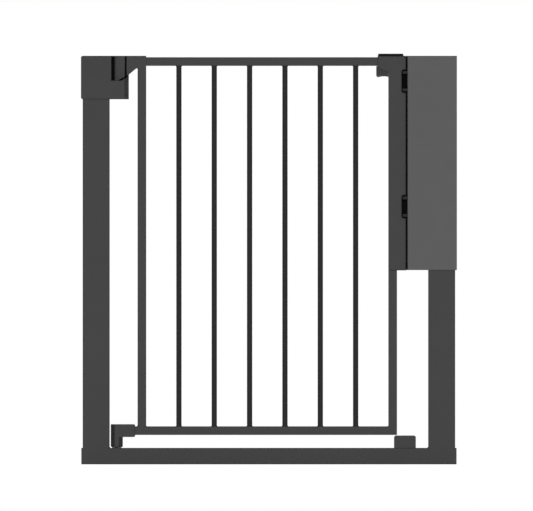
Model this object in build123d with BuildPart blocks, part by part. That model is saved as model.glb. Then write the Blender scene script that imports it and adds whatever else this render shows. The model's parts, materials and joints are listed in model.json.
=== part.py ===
"""Safety gate: a fixed frame, a swinging door of tubes and bars, and a drop latch in the door's handle."""

import math
import os

from build123d import *

os.makedirs("parts", exist_ok=True)

# Millimetres. X runs to the viewer's right, Y away from the viewer, Z up from the floor.

# Frame
FRAME_WIDTH = 696.6
COVER_TOP = 757.0
COVER_DEPTH = 40.0
COVER_WALL = 2.5
COVER_SIDE = 3.2
COVER_EDGE = 3.0
COVER_CORNER = 3.6
BOX_EDGE = 1.6
POST_WIDTH = 50.0
POST_DEPTH = 30.0
POST_WALL = 1.2
POST_CORNER = 3.0
FLOOR_BAR_HEIGHT = 30.5
END_CAP_FLANGE = 2.6
END_CAP_PLUG = 22.0
SPINDLE_HOLE = 8.6
SPINDLE_INSERT = 16.0
SPINDLE_INSERT_LENGTH = 20.0
SPINDLE_DROP = 35.0

# Hinge side
HOUSING_WIDTH = 89.4
HOUSING_HEIGHT = 80.5
HOUSING_SLANT = 8.4
HINGE_SETBACK = 13.2
RECESS_REACH = 10.4
RECESS_DEPTH = 46.2
RECESS_BACK = 10.6
KNUCKLE_REACH = 4.4
KNUCKLE_DEPTH = 12.4
KNUCKLE_ROUND = 5.6
KNUCKLE_LENGTH = 14.9
KNUCKLE_SEAM = 3.2
GASKET_INSET = 0.8
PIN_DIAMETER = 6.0
RUNNING = 0.05
BUSH_DIAMETER = 13.0
BUSH_FLANGE = 17.0
BUSH_FLANGE_THICK = 1.2
BUSH_LENGTH = 15.0
SPRING_CHAMBER = 20.0
SPRING_CHAMBER_HEIGHT = 13.5
CLOSING_WIRE = 1.8
CLOSING_TURNS = 4
LEG_FLAT = 7.4
LEG_WIDTH = 23.8
LEG_BACK_FLAT = 11.0
LEG_FRONT = 12.0
LEG_REAR = 11.3
LEG_SHOULDER = 5.2
LEG_ROUND = 3.4
LOWER_ARM_HEIGHT = 23.8
LOWER_ARM_END = 34.0

# Door
DOOR_SETBACK = 38.5
TUBE = 16.0
TUBE_WALL = 1.0
TUBE_CORNER = 2.2
DOOR_BOTTOM = 54.5
DOOR_DROP = 2.6
BAR_DIAMETER = 9.8
BAR_WALL = 0.9
BAR_COUNT = 6
BRACKET_WALL = 1.2
RAIL_PLUG = 9.0

# Handle and lock box
BOX_WIDTH = 91.3
BOX_HEIGHT = 397.0
HANDLE_SEAM = 3.0
HANDLE_WIDTH = 32.7
HANDLE_DEPTH = 26.0
HANDLE_WALL = 2.0
HANDLE_RISE = 1.4
HANDLE_OVERHANG = 0.6
HANDLE_EDGE = 2.8
CAP_WIDTH = 52.5
CAP_SIDE = 20.0
NOTCH_DROP = 47.0
NOTCH_PITCH = 232.5
NOTCH_HEIGHT = 43.0
NOTCH_DEPTH = 7.9
NOTCH_SLANT = 2.6
FLANGE_REACH = 13.5
FLANGE_THICK = 2.4
FLANGE_GAP = 0.9
BUMPER_THICK = 0.7

# Latch
LATCH_DROP = 9.5
TRIGGER_DROP = 41.0
ROD_WIDTH = 3.4
ROD_DEPTH = 4.4
LOCK_PIN = 3.0
PRONG_THICK = 5.5
PRONG_DEPTH = 10.0
PRONG_SPACING = 32.4
LATCH_SPRING_WIRE = 0.9
LATCH_SPRING_TURNS = 8
THUMB_LENGTH = 46.4
THUMB_DEPTH = 15.0
THUMB_RISE = 2.6
NECK_WIDTH = 7.0
GRIP_GROOVES = 8
GRIP_PITCH = 2.8
GRIP_DEPTH = 0.7
THUMB_LIP = 1.1
THUMB_LIP_DROP = 2.4

# Fits
SLIP = 0.1
PLAY = 0.3
TRAVEL_GAP = 0.4
SCREW = 4.0
SCREW_HEAD = 7.5
SCREW_HEAD_THICK = 2.2

# Positions that follow from the sizes
half_width = FRAME_WIDTH / 2
half_depth = COVER_DEPTH / 2
bar_top = FLOOR_BAR_HEIGHT
door_top = COVER_TOP - DOOR_DROP
handle_top = COVER_TOP + HANDLE_RISE
thumb_top = handle_top + THUMB_RISE
notch_upper_z = COVER_TOP - NOTCH_DROP
notch_lower_z = notch_upper_z - NOTCH_PITCH
spindle_upper_z = COVER_TOP - SPINDLE_DROP
post_top = COVER_TOP - COVER_WALL - PLAY
post_outer = half_width - COVER_SIDE
post_inner = post_outer - POST_WIDTH
post_centre = (post_outer + post_inner) / 2
hinge_x = -post_inner + HINGE_SETBACK
housing_right = -half_width + HOUSING_WIDTH
housing_bottom = COVER_TOP - HOUSING_HEIGHT
recess_left = hinge_x - RECESS_REACH
recess_floor = COVER_TOP - RECESS_DEPTH
door_left = hinge_x + DOOR_SETBACK
box_left = half_width - BOX_WIDTH
box_bottom = COVER_TOP - BOX_HEIGHT
handle_bottom = box_bottom - HANDLE_OVERHANG
handle_height = handle_top - handle_bottom
handle_right = box_left - HANDLE_SEAM
handle_left = handle_right - HANDLE_WIDTH
handle_half = HANDLE_DEPTH / 2
handle_inner = handle_half - HANDLE_WALL
stile_right = handle_left + TUBE
cap_left = handle_right - CAP_WIDTH
tube_half = TUBE / 2
rail_underside = door_top - TUBE
bottom_rail_top = DOOR_BOTTOM + TUBE
knuckle_right = hinge_x + KNUCKLE_LENGTH
bracket_left = knuckle_right + KNUCKLE_SEAM
bracket_right = door_left + TUBE
bracket_half = tube_half + BRACKET_WALL
bracket_bottom = rail_underside - 5.0
knuckle_bottom = recess_floor + BUSH_FLANGE_THICK / 2 + PLAY
leg_bottom = bar_top + BUSH_FLANGE_THICK + SLIP
lower_arm_bottom = DOOR_BOTTOM + tube_half - LOWER_ARM_HEIGHT / 2
lower_arm_top = lower_arm_bottom + LOWER_ARM_HEIGHT
notch_inner = handle_right - NOTCH_DEPTH
rod_right = notch_inner - HANDLE_WALL - PLAY
rod_x = rod_right - ROD_WIDTH / 2
lock_pin_x = handle_right - HANDLE_WALL - PLAY - LOCK_PIN / 2
tab_right = handle_right - HANDLE_WALL - PLAY
tab_height = 4.0
tab_lift = NOTCH_HEIGHT / 2 + HANDLE_WALL + TRAVEL_GAP + LATCH_DROP
rod_top = rail_underside + TUBE - 2.5
rod_bottom = notch_lower_z + tab_lift
shelf_z = (notch_upper_z + notch_lower_z) / 2 + 46.0
shelf_thick = 3.0
collar_top = shelf_z - 40.0
collar_thick = 2.5
cross_pin_z = rod_top - 2.5
cheek_inner = tube_half + TRAVEL_GAP
cheek_outer = handle_inner - TRAVEL_GAP
flange_front = handle_half + FLANGE_GAP
handle_screw_heights = [handle_bottom + handle_height * share for share in (0.1, 0.49, 0.815)]
box_screw_heights = [box_bottom + BOX_HEIGHT * share for share in (0.07, 0.455, 0.845)]
housing_screw_heights = [housing_bottom + HOUSING_HEIGHT * share for share in (0.22, 0.8)]


def rear_face(x, y, z):
    """A drilling plane that looks to the rear, so a hole made on it runs to the front."""
    return Plane(origin=(x, y, z), x_dir=(1, 0, 0), z_dir=(0, 1, 0))


def tube_outline(width, depth, wall, corner):
    """A hollow rectangle with rounded corners."""
    RectangleRounded(width, depth, corner)
    RectangleRounded(width - 2 * wall, depth - 2 * wall, max(corner - wall, 0.4), mode=Mode.SUBTRACT)


def coil_path(x, z_start, radius, pitch, turns):
    """A coil around a vertical line, made of pairs of arcs that meet smoothly, one pair to a half turn."""
    slope = pitch / (2 * math.pi * radius)
    for half in range(int(2 * turns)):
        ends = []
        for step in (half, half + 1):
            angle = math.pi * step
            height = z_start + pitch * step / 2
            point = Vector(x + radius * math.cos(angle), radius * math.sin(angle), height)
            tangent = Vector(-math.sin(angle), math.cos(angle), slope).normalized()
            ends.append((point, tangent))
        (first, leave), (last, arrive) = ends
        chord = last - first
        both = leave + arrive
        # equal tangent lengths: |chord - t * both| = 2 t
        a = both.dot(both) - 4.0
        b = -2.0 * chord.dot(both)
        c = chord.dot(chord)
        reach = (-b - math.sqrt(b * b - 4 * a * c)) / (2 * a)
        corner_a = first + leave * reach
        corner_b = last - arrive * reach
        middle = (corner_a + corner_b) * 0.5
        TangentArc(first, middle, tangent=leave)
        TangentArc(middle, last, tangent=corner_b - corner_a)


def keep(builder, name):
    """Label a finished piece and write it out."""
    builder.part.label = name
    export_step(builder.part, "parts/" + name + ".step")


# Posts: each a hollow tube on the floor bar, drilled for its cover's screws and its spindle insert
for side, name in ((-1, "left_post"), (1, "right_post")):
    screw_heights = housing_screw_heights if side < 0 else box_screw_heights
    with BuildPart() as post:
        with BuildSketch(Plane.XY.offset(bar_top)):
            with Locations((side * post_centre, 0)):
                tube_outline(POST_WIDTH, POST_DEPTH, POST_WALL, POST_CORNER)
        extrude(amount=post_top - bar_top)
        for height in screw_heights:
            with Locations(rear_face(side * post_centre, half_depth, height)):
                Hole(SCREW / 2 + SLIP)
        with Locations(Plane(origin=(side * half_width, 0, spindle_upper_z), z_dir=(side, 0, 0))):
            Hole(SPINDLE_INSERT / 2, depth=COVER_SIDE + POST_WALL + 1.0)
    keep(post, name)

# Floor bar: one tube under both posts
stop_left = box_left - 25.2
stop_width = 40.4
stop_top = DOOR_BOTTOM - 1.0
stop_screws = [stop_left + stop_width * share for share in (0.3, 0.7)]
with BuildPart() as floor_bar:
    with BuildSketch(Plane.YZ.offset(-post_outer)):
        with Locations((0, FLOOR_BAR_HEIGHT / 2)):
            tube_outline(POST_DEPTH, FLOOR_BAR_HEIGHT, POST_WALL, POST_CORNER)
    extrude(amount=2 * post_outer)
    with Locations((hinge_x, 0, bar_top)):
        Hole(BUSH_DIAMETER / 2, depth=POST_WALL + 1.0)
    for x in stop_screws:
        with Locations((x, 0, bar_top)):
            Hole(SCREW / 2, depth=POST_WALL + 1.0)
keep(floor_bar, "floor_bar")

# End caps: a flange over the tube's end and a plug inside it that holds a spindle insert
bar_middle = FLOOR_BAR_HEIGHT / 2
plug_inset = 2 * POST_WALL + 2 * SLIP
for side, name in ((-1, "floor_bar_cap_left"), (1, "floor_bar_cap_right")):
    outward = Plane(origin=(side * post_outer, 0, bar_middle), x_dir=(0, 1, 0), z_dir=(side, 0, 0))
    with BuildPart() as cap:
        with BuildSketch(outward):
            RectangleRounded(POST_DEPTH, FLOOR_BAR_HEIGHT, POST_CORNER)
        extrude(amount=END_CAP_FLANGE)
        fillet(cap.faces().sort_by(Axis.X)[-1 if side > 0 else 0].edges(), 0.8)
        with BuildSketch(outward):
            RectangleRounded(POST_DEPTH - plug_inset, FLOOR_BAR_HEIGHT - plug_inset, POST_CORNER - POST_WALL)
        extrude(amount=-END_CAP_PLUG)
        with Locations(outward.offset(END_CAP_FLANGE)):
            Hole(SPINDLE_INSERT / 2, depth=END_CAP_FLANGE + SPINDLE_INSERT_LENGTH)
    keep(cap, name)

# Spindle inserts: four threaded sleeves for the pressure spindles
with BuildPart() as spindle_inserts:
    for side in (-1, 1):
        seats = ((post_outer, spindle_upper_z), (post_outer + END_CAP_FLANGE, bar_middle))
        for mouth, height in seats:
            with BuildSketch(Plane(origin=(side * mouth, 0, height), z_dir=(-side, 0, 0))):
                Circle(SPINDLE_INSERT / 2)
                Circle(SPINDLE_HOLE / 2, mode=Mode.SUBTRACT)
            extrude(amount=SPINDLE_INSERT_LENGTH)
keep(spindle_inserts, "spindle_inserts")

# Hinge housing: a block around the top of the left post, split at the middle, with a recess for the knuckle
floor_low = recess_floor
floor_high = recess_floor + 9.4
bush_top = recess_floor + BUSH_FLANGE_THICK / 2
bush_bottom = bush_top - BUSH_LENGTH
chamber_bottom = bush_bottom - SPRING_CHAMBER_HEIGHT
for side, name in ((-1, "hinge_housing_front"), (1, "hinge_housing_rear")):
    with BuildPart() as housing:
        with BuildSketch(Plane.XY.offset(housing_bottom)):
            with BuildLine():
                if side < 0:
                    Polyline(
                        (-half_width, 0),
                        (-half_width, -half_depth),
                        (housing_right - HOUSING_SLANT, -half_depth),
                        (housing_right - HOUSING_SLANT / 2, 0),
                        close=True,
                    )
                else:
                    Polyline(
                        (-half_width, 0),
                        (housing_right - HOUSING_SLANT / 2, 0),
                        (housing_right, half_depth),
                        (-half_width, half_depth),
                        close=True,
                    )
            make_face()
        extrude(amount=HOUSING_HEIGHT)
        corners = housing.edges().filter_by(Axis.Y)
        fillet(corners.filter_by(lambda e: e.center().X < -half_width + 0.1), COVER_CORNER)
        face = housing.faces().sort_by(Axis.Y)[-1 if side > 0 else 0]
        fillet(face.edges(), COVER_EDGE)
        # pocket for the post
        with BuildSketch(Plane.XY.offset(housing_bottom)):
            with Locations((-post_centre, 0)):
                RectangleRounded(POST_WIDTH + 2 * SLIP, POST_DEPTH + 2 * SLIP, POST_CORNER)
        extrude(amount=post_top + PLAY - housing_bottom, mode=Mode.SUBTRACT)
        # recess: open to the front, the right and the top, closed at the rear
        with BuildSketch(Plane.XZ.offset(-RECESS_BACK)):
            with BuildLine():
                Polyline(
                    (recess_left, COVER_TOP + 1),
                    (recess_left, floor_low),
                    (hinge_x + 9.0, floor_low),
                    (housing_right, floor_high),
                    (housing_right + 1, floor_high),
                    (housing_right + 1, COVER_TOP + 1),
                    close=True,
                )
            make_face()
        extrude(amount=RECESS_BACK + half_depth + 1, mode=Mode.SUBTRACT)
        # seat of the bush, chamber of the closing spring and the foot of the pin
        with Locations((hinge_x, 0, COVER_TOP)):
            CounterBoreHole(BUSH_DIAMETER / 2, BUSH_FLANGE / 2, COVER_TOP - bush_top + BUSH_FLANGE_THICK,
                            COVER_TOP - bush_bottom)
        with Locations((hinge_x, 0, bush_bottom)):
            Hole(SPRING_CHAMBER / 2, depth=SPRING_CHAMBER_HEIGHT)
        for height in housing_screw_heights:
            with Locations(rear_face(-post_centre, half_depth, height)):
                if side > 0:
                    CounterBoreHole(SCREW / 2 + SLIP, SCREW_HEAD / 2 + SLIP, SCREW_HEAD_THICK, half_depth)
                else:
                    Hole(SCREW / 2, depth=COVER_DEPTH - COVER_WALL)
        with Locations(Plane(origin=(-half_width, 0, spindle_upper_z), z_dir=(-1, 0, 0))):
            Hole(SPINDLE_HOLE / 2 + 1.2, depth=COVER_SIDE + 1.0)
    keep(housing, name)


def long_screws(x, rear, front, heights):
    """Round-headed screws along Y with their heads at the rear."""
    neck = rear - SCREW_HEAD_THICK
    at_plane = (Align.CENTER, Align.CENTER, Align.MIN)
    below_plane = (Align.CENTER, Align.CENTER, Align.MAX)
    with Locations(*[rear_face(x, neck, height) for height in heights]):
        Cylinder(SCREW_HEAD / 2, SCREW_HEAD_THICK - 0.3, align=at_plane)
        Cylinder(SCREW / 2, neck - front, align=below_plane)


with BuildPart() as hinge_housing_screws:
    long_screws(-post_centre, half_depth, -half_depth + COVER_WALL + 0.2, housing_screw_heights)
keep(hinge_housing_screws, "hinge_housing_screws")

# Pivot bushes: flanged sleeves, the upper one in the housing and the lower one in the floor bar
for name, top in (("upper_pivot_bush", bush_top), ("lower_pivot_bush", bar_top + BUSH_FLANGE_THICK)):
    with BuildPart() as bush:
        with BuildSketch(Plane.XY.offset(top - BUSH_LENGTH)):
            with Locations((hinge_x, 0)):
                Circle(BUSH_DIAMETER / 2)
        extrude(amount=BUSH_LENGTH)
        with BuildSketch(Plane.XY.offset(top - BUSH_FLANGE_THICK)):
            with Locations((hinge_x, 0)):
                Circle(BUSH_FLANGE / 2)
        extrude(amount=BUSH_FLANGE_THICK)
        with Locations((hinge_x, 0, top)):
            Hole(PIN_DIAMETER / 2 + RUNNING)
    keep(bush, name)

# Closing spring: a coil round the upper pin, inside the housing
coil_radius = SPRING_CHAMBER / 2 - CLOSING_WIRE / 2 - PLAY
coil_pitch = (SPRING_CHAMBER_HEIGHT - CLOSING_WIRE - 2 * PLAY) / CLOSING_TURNS
with BuildPart() as closing_spring:
    with BuildLine() as closing_line:
        coil_path(hinge_x, chamber_bottom + CLOSING_WIRE / 2 + PLAY, coil_radius, coil_pitch, CLOSING_TURNS)
    with BuildSketch(Plane(origin=closing_line.line @ 0, z_dir=closing_line.line % 0)):
        Circle(CLOSING_WIRE / 2)
    sweep(path=closing_line.line)
keep(closing_spring, "closing_spring")

# Lock box: a front cover and a rear shell round the right post; the rear shell has the door's stop flange
keeper_heights = (notch_upper_z, notch_lower_z)
for side, name in ((-1, "lock_box_front"), (1, "lock_box_rear")):
    with BuildPart() as box:
        with BuildSketch(Plane.XY.offset(box_bottom)):
            with Locations((box_left + BOX_WIDTH / 2, side * half_depth / 2)):
                Rectangle(BOX_WIDTH, half_depth)
        extrude(amount=BOX_HEIGHT)
        face = box.faces().sort_by(Axis.Y)[-1 if side > 0 else 0]
        fillet(face.edges(), BOX_EDGE)
        # hollow left of the post
        hollow_left = box_left + COVER_WALL
        hollow_right = post_inner - COVER_WALL
        with BuildSketch(Plane.XY.offset(box_bottom + COVER_WALL)):
            with Locations(((hollow_left + hollow_right) / 2, 0)):
                Rectangle(hollow_right - hollow_left, COVER_DEPTH - 2 * COVER_WALL)
        extrude(amount=BOX_HEIGHT - 2 * COVER_WALL, mode=Mode.SUBTRACT)
        # pocket for the post
        with BuildSketch(Plane.XY.offset(box_bottom)):
            with Locations((post_centre, 0)):
                RectangleRounded(POST_WIDTH + 2 * SLIP, POST_DEPTH + 2 * SLIP, POST_CORNER)
        extrude(amount=post_top + PLAY - box_bottom, mode=Mode.SUBTRACT)
        # windows for the keepers: through the left wall, and wide enough behind it for their base plates
        for centre in keeper_heights:
            for shift in (-PRONG_SPACING / 2, PRONG_SPACING / 2):
                with BuildSketch(Plane.YZ.offset(box_left - 1)):
                    with Locations((0, centre + shift)):
                        Rectangle(PRONG_DEPTH + 2 * PLAY, PRONG_THICK + 2 * PLAY)
                extrude(amount=COVER_WALL + 2, mode=Mode.SUBTRACT)
            with BuildSketch(Plane.YZ.offset(hollow_right - 1)):
                with Locations((0, centre)):
                    Rectangle(PRONG_DEPTH + 12, PRONG_SPACING + PRONG_THICK + 2)
            extrude(amount=COVER_WALL + 2, mode=Mode.SUBTRACT)
        for height in box_screw_heights:
            with Locations(rear_face(post_centre, half_depth, height)):
                if side > 0:
                    CounterBoreHole(SCREW / 2 + SLIP, SCREW_HEAD / 2 + SLIP, SCREW_HEAD_THICK, half_depth)
                else:
                    Hole(SCREW / 2, depth=COVER_DEPTH - COVER_WALL)
        with Locations(Plane(origin=(half_width, 0, spindle_upper_z), z_dir=(1, 0, 0))):
            Hole(SPINDLE_HOLE / 2 + 1.2, depth=COVER_SIDE + 1.0)
        if side > 0:
            # stop flange behind the handle
            with BuildSketch(Plane.XY.offset(box_bottom)):
                with Locations((box_left - FLANGE_REACH / 2 + 1.0, flange_front + FLANGE_THICK / 2)):
                    Rectangle(FLANGE_REACH + 2.0, FLANGE_THICK)
            extrude(amount=BOX_HEIGHT)
    keep(box, name)

with BuildPart() as lock_box_screws:
    long_screws(post_centre, half_depth, -half_depth + COVER_WALL + 0.2, box_screw_heights)
keep(lock_box_screws, "lock_box_screws")

# Stop bumper: a soft strip on the flange that the closed handle lies against
with BuildPart() as stop_bumper:
    with BuildSketch(Plane.XY.offset(box_bottom + 2)):
        with Locations((box_left - FLANGE_REACH / 2, flange_front - BUMPER_THICK / 2)):
            Rectangle(FLANGE_REACH - 0.6, BUMPER_THICK)
    extrude(amount=BOX_HEIGHT - 4)
keep(stop_bumper, "stop_bumper")

# Keepers: bent steel with two prongs; the upper prong takes the lock pin
prong_tip = notch_inner + 1.6
base_thick = 2.0
for centre, name in ((notch_upper_z, "upper_keeper"), (notch_lower_z, "lower_keeper")):
    with BuildPart() as keeper:
        with BuildSketch(Plane.YZ.offset(post_inner - base_thick)):
            with Locations((0, centre)):
                RectangleRounded(PRONG_DEPTH + 8, PRONG_SPACING + PRONG_THICK, 2.0)
        extrude(amount=base_thick)
        for shift in (-PRONG_SPACING / 2, PRONG_SPACING / 2):
            with BuildSketch(Plane.YZ.offset(prong_tip)):
                with Locations((0, centre + shift)):
                    RectangleRounded(PRONG_DEPTH, PRONG_THICK, 0.8)
            extrude(amount=post_inner - prong_tip)
        with Locations((lock_pin_x, 0, centre + PRONG_SPACING / 2 + PRONG_THICK)):
            Hole(LOCK_PIN / 2 + PLAY, depth=2 * PRONG_THICK)
        for shift in (-8.0, 8.0):
            with Locations(Plane(origin=(post_inner - base_thick, 0, centre + shift), z_dir=(-1, 0, 0))):
                Hole(SCREW / 2, depth=base_thick + 1)
    keep(keeper, name)

with BuildPart() as keeper_screws:
    for centre in keeper_heights:
        for shift in (-8.0, 8.0):
            with BuildSketch(Plane.YZ.offset(post_inner - base_thick)):
                with Locations((0, centre + shift)):
                    Circle(SCREW_HEAD / 2)
            extrude(amount=-SCREW_HEAD_THICK)
            with BuildSketch(Plane.YZ.offset(post_inner - base_thick)):
                with Locations((0, centre + shift)):
                    Circle(SCREW / 2)
            extrude(amount=base_thick)
keep(keeper_screws, "keeper_screws")

# Stop block on the floor bar, under the door's free corner
with BuildPart() as stop_block:
    with BuildSketch(Plane.XZ.offset(-POST_DEPTH / 2)) as stop_outline:
        with Locations((stop_left + stop_width / 2, (bar_top + stop_top) / 2)):
            Rectangle(stop_width, stop_top - bar_top)
        fillet(stop_outline.vertices().sort_by(Axis.Y)[-2:], 4.0)
    extrude(amount=POST_DEPTH)
    fillet(stop_block.edges().filter_by(lambda e: abs(abs(e.center().Y) - POST_DEPTH / 2) < 0.01
                                        and e.center().Z > bar_top + 0.1), 1.0)
    for x in stop_screws:
        with Locations((x, 0, stop_top)):
            CounterBoreHole(SCREW / 2 + SLIP, SCREW_HEAD / 2 + SLIP, 10.0)
keep(stop_block, "stop_block")

with BuildPart() as stop_block_screws:
    for x in stop_screws:
        with BuildSketch(Plane.XY.offset(stop_top - 10.0)):
            with Locations((x, 0)):
                Circle(SCREW_HEAD / 2)
        extrude(amount=SCREW_HEAD_THICK)
        with BuildSketch(Plane.XY.offset(stop_top - 10.0)):
            with Locations((x, 0)):
                Circle(SCREW / 2)
        extrude(amount=-(stop_top - 10.0 - bar_top + POST_WALL))
keep(stop_block_screws, "stop_block_screws")

# Door frame: two rails with two stiles and the bars welded between them
bar_length = rail_underside - bottom_rail_top
rail_left = hinge_x + LEG_REAR + 2.0
stile_centres = {"door_left_stile": door_left + tube_half, "door_right_stile": handle_left + tube_half}
for name, x in stile_centres.items():
    with BuildPart() as stile:
        with BuildSketch(Plane.XY.offset(bottom_rail_top)):
            with Locations((x, 0)):
                tube_outline(TUBE, TUBE, TUBE_WALL, TUBE_CORNER)
        extrude(amount=bar_length)
        if name == "door_right_stile":
            for height in handle_screw_heights:
                with Locations(rear_face(x, tube_half, height)):
                    Hole(SCREW / 2 + SLIP, depth=TUBE)
    keep(stile, name)

for name, start, height, screw_x in (
    ("door_top_rail", door_left, door_top - tube_half, door_left + tube_half),
    ("door_bottom_rail", rail_left, DOOR_BOTTOM + tube_half, hinge_x + 25.0),
):
    with BuildPart() as rail:
        with BuildSketch(Plane.YZ.offset(start)):
            with Locations((0, height)):
                tube_outline(TUBE, TUBE, TUBE_WALL, TUBE_CORNER)
        extrude(amount=stile_right - start)
        with Locations(rear_face(screw_x, tube_half, height)):
            Hole(SCREW / 2, depth=2 * TUBE_WALL)
    keep(rail, name)

# Plug in the free end of the bottom rail
plug_side = TUBE - 2 * TUBE_WALL - 2 * SLIP
with BuildPart() as rail_plug:
    with BuildSketch(Plane.YZ.offset(stile_right - RAIL_PLUG)):
        with Locations((0, DOOR_BOTTOM + tube_half)):
            RectangleRounded(plug_side, plug_side, TUBE_CORNER - TUBE_WALL)
    extrude(amount=RAIL_PLUG)
    chamfer(rail_plug.faces().sort_by(Axis.X)[-1].edges(), 0.5)
keep(rail_plug, "bottom_rail_plug")

clear_gap = (handle_left - bracket_right - BAR_COUNT * BAR_DIAMETER) / (BAR_COUNT + 1)
for number in range(BAR_COUNT):
    bar_x = bracket_right + clear_gap * (number + 1) + BAR_DIAMETER * (number + 0.5)
    with BuildPart() as bar:
        with BuildSketch(Plane.XY.offset(bottom_rail_top)):
            with Locations((bar_x, 0)):
                Circle(BAR_DIAMETER / 2)
                Circle(BAR_DIAMETER / 2 - BAR_WALL, mode=Mode.SUBTRACT)
        extrude(amount=bar_length)
    keep(bar, "door_bar_" + str(number + 1))

# Upper hinge: a knuckle on the pin and a corner bracket over the door's corner, with one sweeping underside
tenon_length = 8.0
tenon_z = (COVER_TOP - 29.0, COVER_TOP - 9.0)
swoop = (
    (hinge_x - 30, COVER_TOP - 70),
    (hinge_x - 30, knuckle_bottom),
    (hinge_x + 2.0, knuckle_bottom),
    (hinge_x + 22.6, knuckle_bottom + 10.6),
    (door_left - 4.6, bracket_bottom - 1.6),
    (door_left - 2.4, bracket_bottom),
    (bracket_right + 5, bracket_bottom),
    (bracket_right + 5, COVER_TOP - 70),
)
with BuildPart() as upper_knuckle:
    with BuildSketch(Plane.XY.offset(COVER_TOP - 60)):
        with Locations((hinge_x + (KNUCKLE_LENGTH - KNUCKLE_REACH) / 2, 0)):
            Rectangle(KNUCKLE_LENGTH + KNUCKLE_REACH, KNUCKLE_DEPTH)
    extrude(amount=60)
    upright = upper_knuckle.edges().filter_by(Axis.Z)
    fillet(upright.filter_by(lambda e: e.center().X < hinge_x), KNUCKLE_ROUND)
    fillet(upright.filter_by(lambda e: e.center().X > hinge_x), 1.2)
    fillet(upper_knuckle.faces().sort_by(Axis.Z)[-1].edges(), 0.8)
    with BuildSketch(Plane.XZ.offset(-half_depth)):
        Polygon(*swoop, align=None)
    extrude(amount=COVER_DEPTH, mode=Mode.SUBTRACT)
    with BuildSketch(Plane.YZ.offset(knuckle_right - tenon_length - SLIP)):
        with Locations((0, sum(tenon_z) / 2)):
            Rectangle(9 + 2 * SLIP, tenon_z[1] - tenon_z[0] + 2 * SLIP)
    extrude(amount=tenon_length + 1, mode=Mode.SUBTRACT)
    with Locations(Plane(origin=(hinge_x, 0, knuckle_bottom - 1), z_dir=(0, 0, -1))):
        Hole(PIN_DIAMETER / 2, depth=COVER_TOP - 8 - knuckle_bottom + 1)
keep(upper_knuckle, "upper_hinge_knuckle")

with BuildPart() as upper_bracket:
    with BuildSketch(Plane.XY.offset(COVER_TOP - 60)):
        with Locations(((bracket_left + bracket_right) / 2, 0)):
            Rectangle(bracket_right - bracket_left, 2 * bracket_half)
    extrude(amount=60)
    fillet(upper_bracket.edges().filter_by(Axis.Z), 1.0)
    fillet(upper_bracket.faces().sort_by(Axis.Z)[-1].edges(), 0.8)
    with BuildSketch(Plane.XZ.offset(-half_depth)) as underside:
        Polygon(*swoop, align=None)
        soft = underside.vertices().filter_by(lambda v: hinge_x + 20 < v.X < hinge_x + 24)
        fillet(soft, 14.0)
    extrude(amount=COVER_DEPTH, mode=Mode.SUBTRACT)
    # socket for the top rail and the stile
    with BuildSketch(Plane.YZ.offset(door_left)):
        with Locations((0, door_top - tube_half)):
            Rectangle(TUBE, TUBE)
    extrude(amount=TUBE + 2, mode=Mode.SUBTRACT)
    with BuildSketch(Plane.XY.offset(rail_underside)):
        with Locations((door_left + tube_half + 1, 0)):
            Rectangle(TUBE + 2, TUBE)
    extrude(amount=-20, mode=Mode.SUBTRACT)
    with BuildSketch(Plane.YZ.offset(knuckle_right - tenon_length)):
        with Locations((0, sum(tenon_z) / 2)):
            Rectangle(9, tenon_z[1] - tenon_z[0])
    extrude(amount=tenon_length + KNUCKLE_SEAM + 1)
    with Locations(rear_face(door_left + tube_half, bracket_half, door_top - tube_half)):
        Hole(SCREW / 2 + SLIP, depth=BRACKET_WALL + 1)
keep(upper_bracket, "upper_corner_bracket")

# Gasket that fills the seam between knuckle and bracket, a little set back, round the tenon
with BuildPart() as gasket:
    with BuildSketch(Plane.YZ.offset(knuckle_right)):
        with Locations((0, COVER_TOP - 30 - GASKET_INSET)):
            Rectangle(KNUCKLE_DEPTH - 2 * GASKET_INSET, 60)
    extrude(amount=KNUCKLE_SEAM)
    with BuildSketch(Plane.XZ.offset(-half_depth)):
        Polygon(*[(x, z + GASKET_INSET) for x, z in swoop], align=None)
    extrude(amount=COVER_DEPTH, mode=Mode.SUBTRACT)
    with BuildSketch(Plane.YZ.offset(knuckle_right - 1)):
        with Locations((0, sum(tenon_z) / 2)):
            Rectangle(9, tenon_z[1] - tenon_z[0])
    extrude(amount=KNUCKLE_SEAM + 2, mode=Mode.SUBTRACT)
keep(gasket, "knuckle_gasket")

with BuildPart() as upper_pin:
    with BuildSketch(Plane.XY.offset(chamber_bottom + 1)):
        with Locations((hinge_x, 0)):
            Circle(PIN_DIAMETER / 2)
    extrude(amount=COVER_TOP - 8 - chamber_bottom - 1)
    chamfer(upper_pin.faces().sort_by(Axis.Z)[0].edges(), 0.8)
keep(upper_pin, "upper_hinge_pin")

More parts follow.
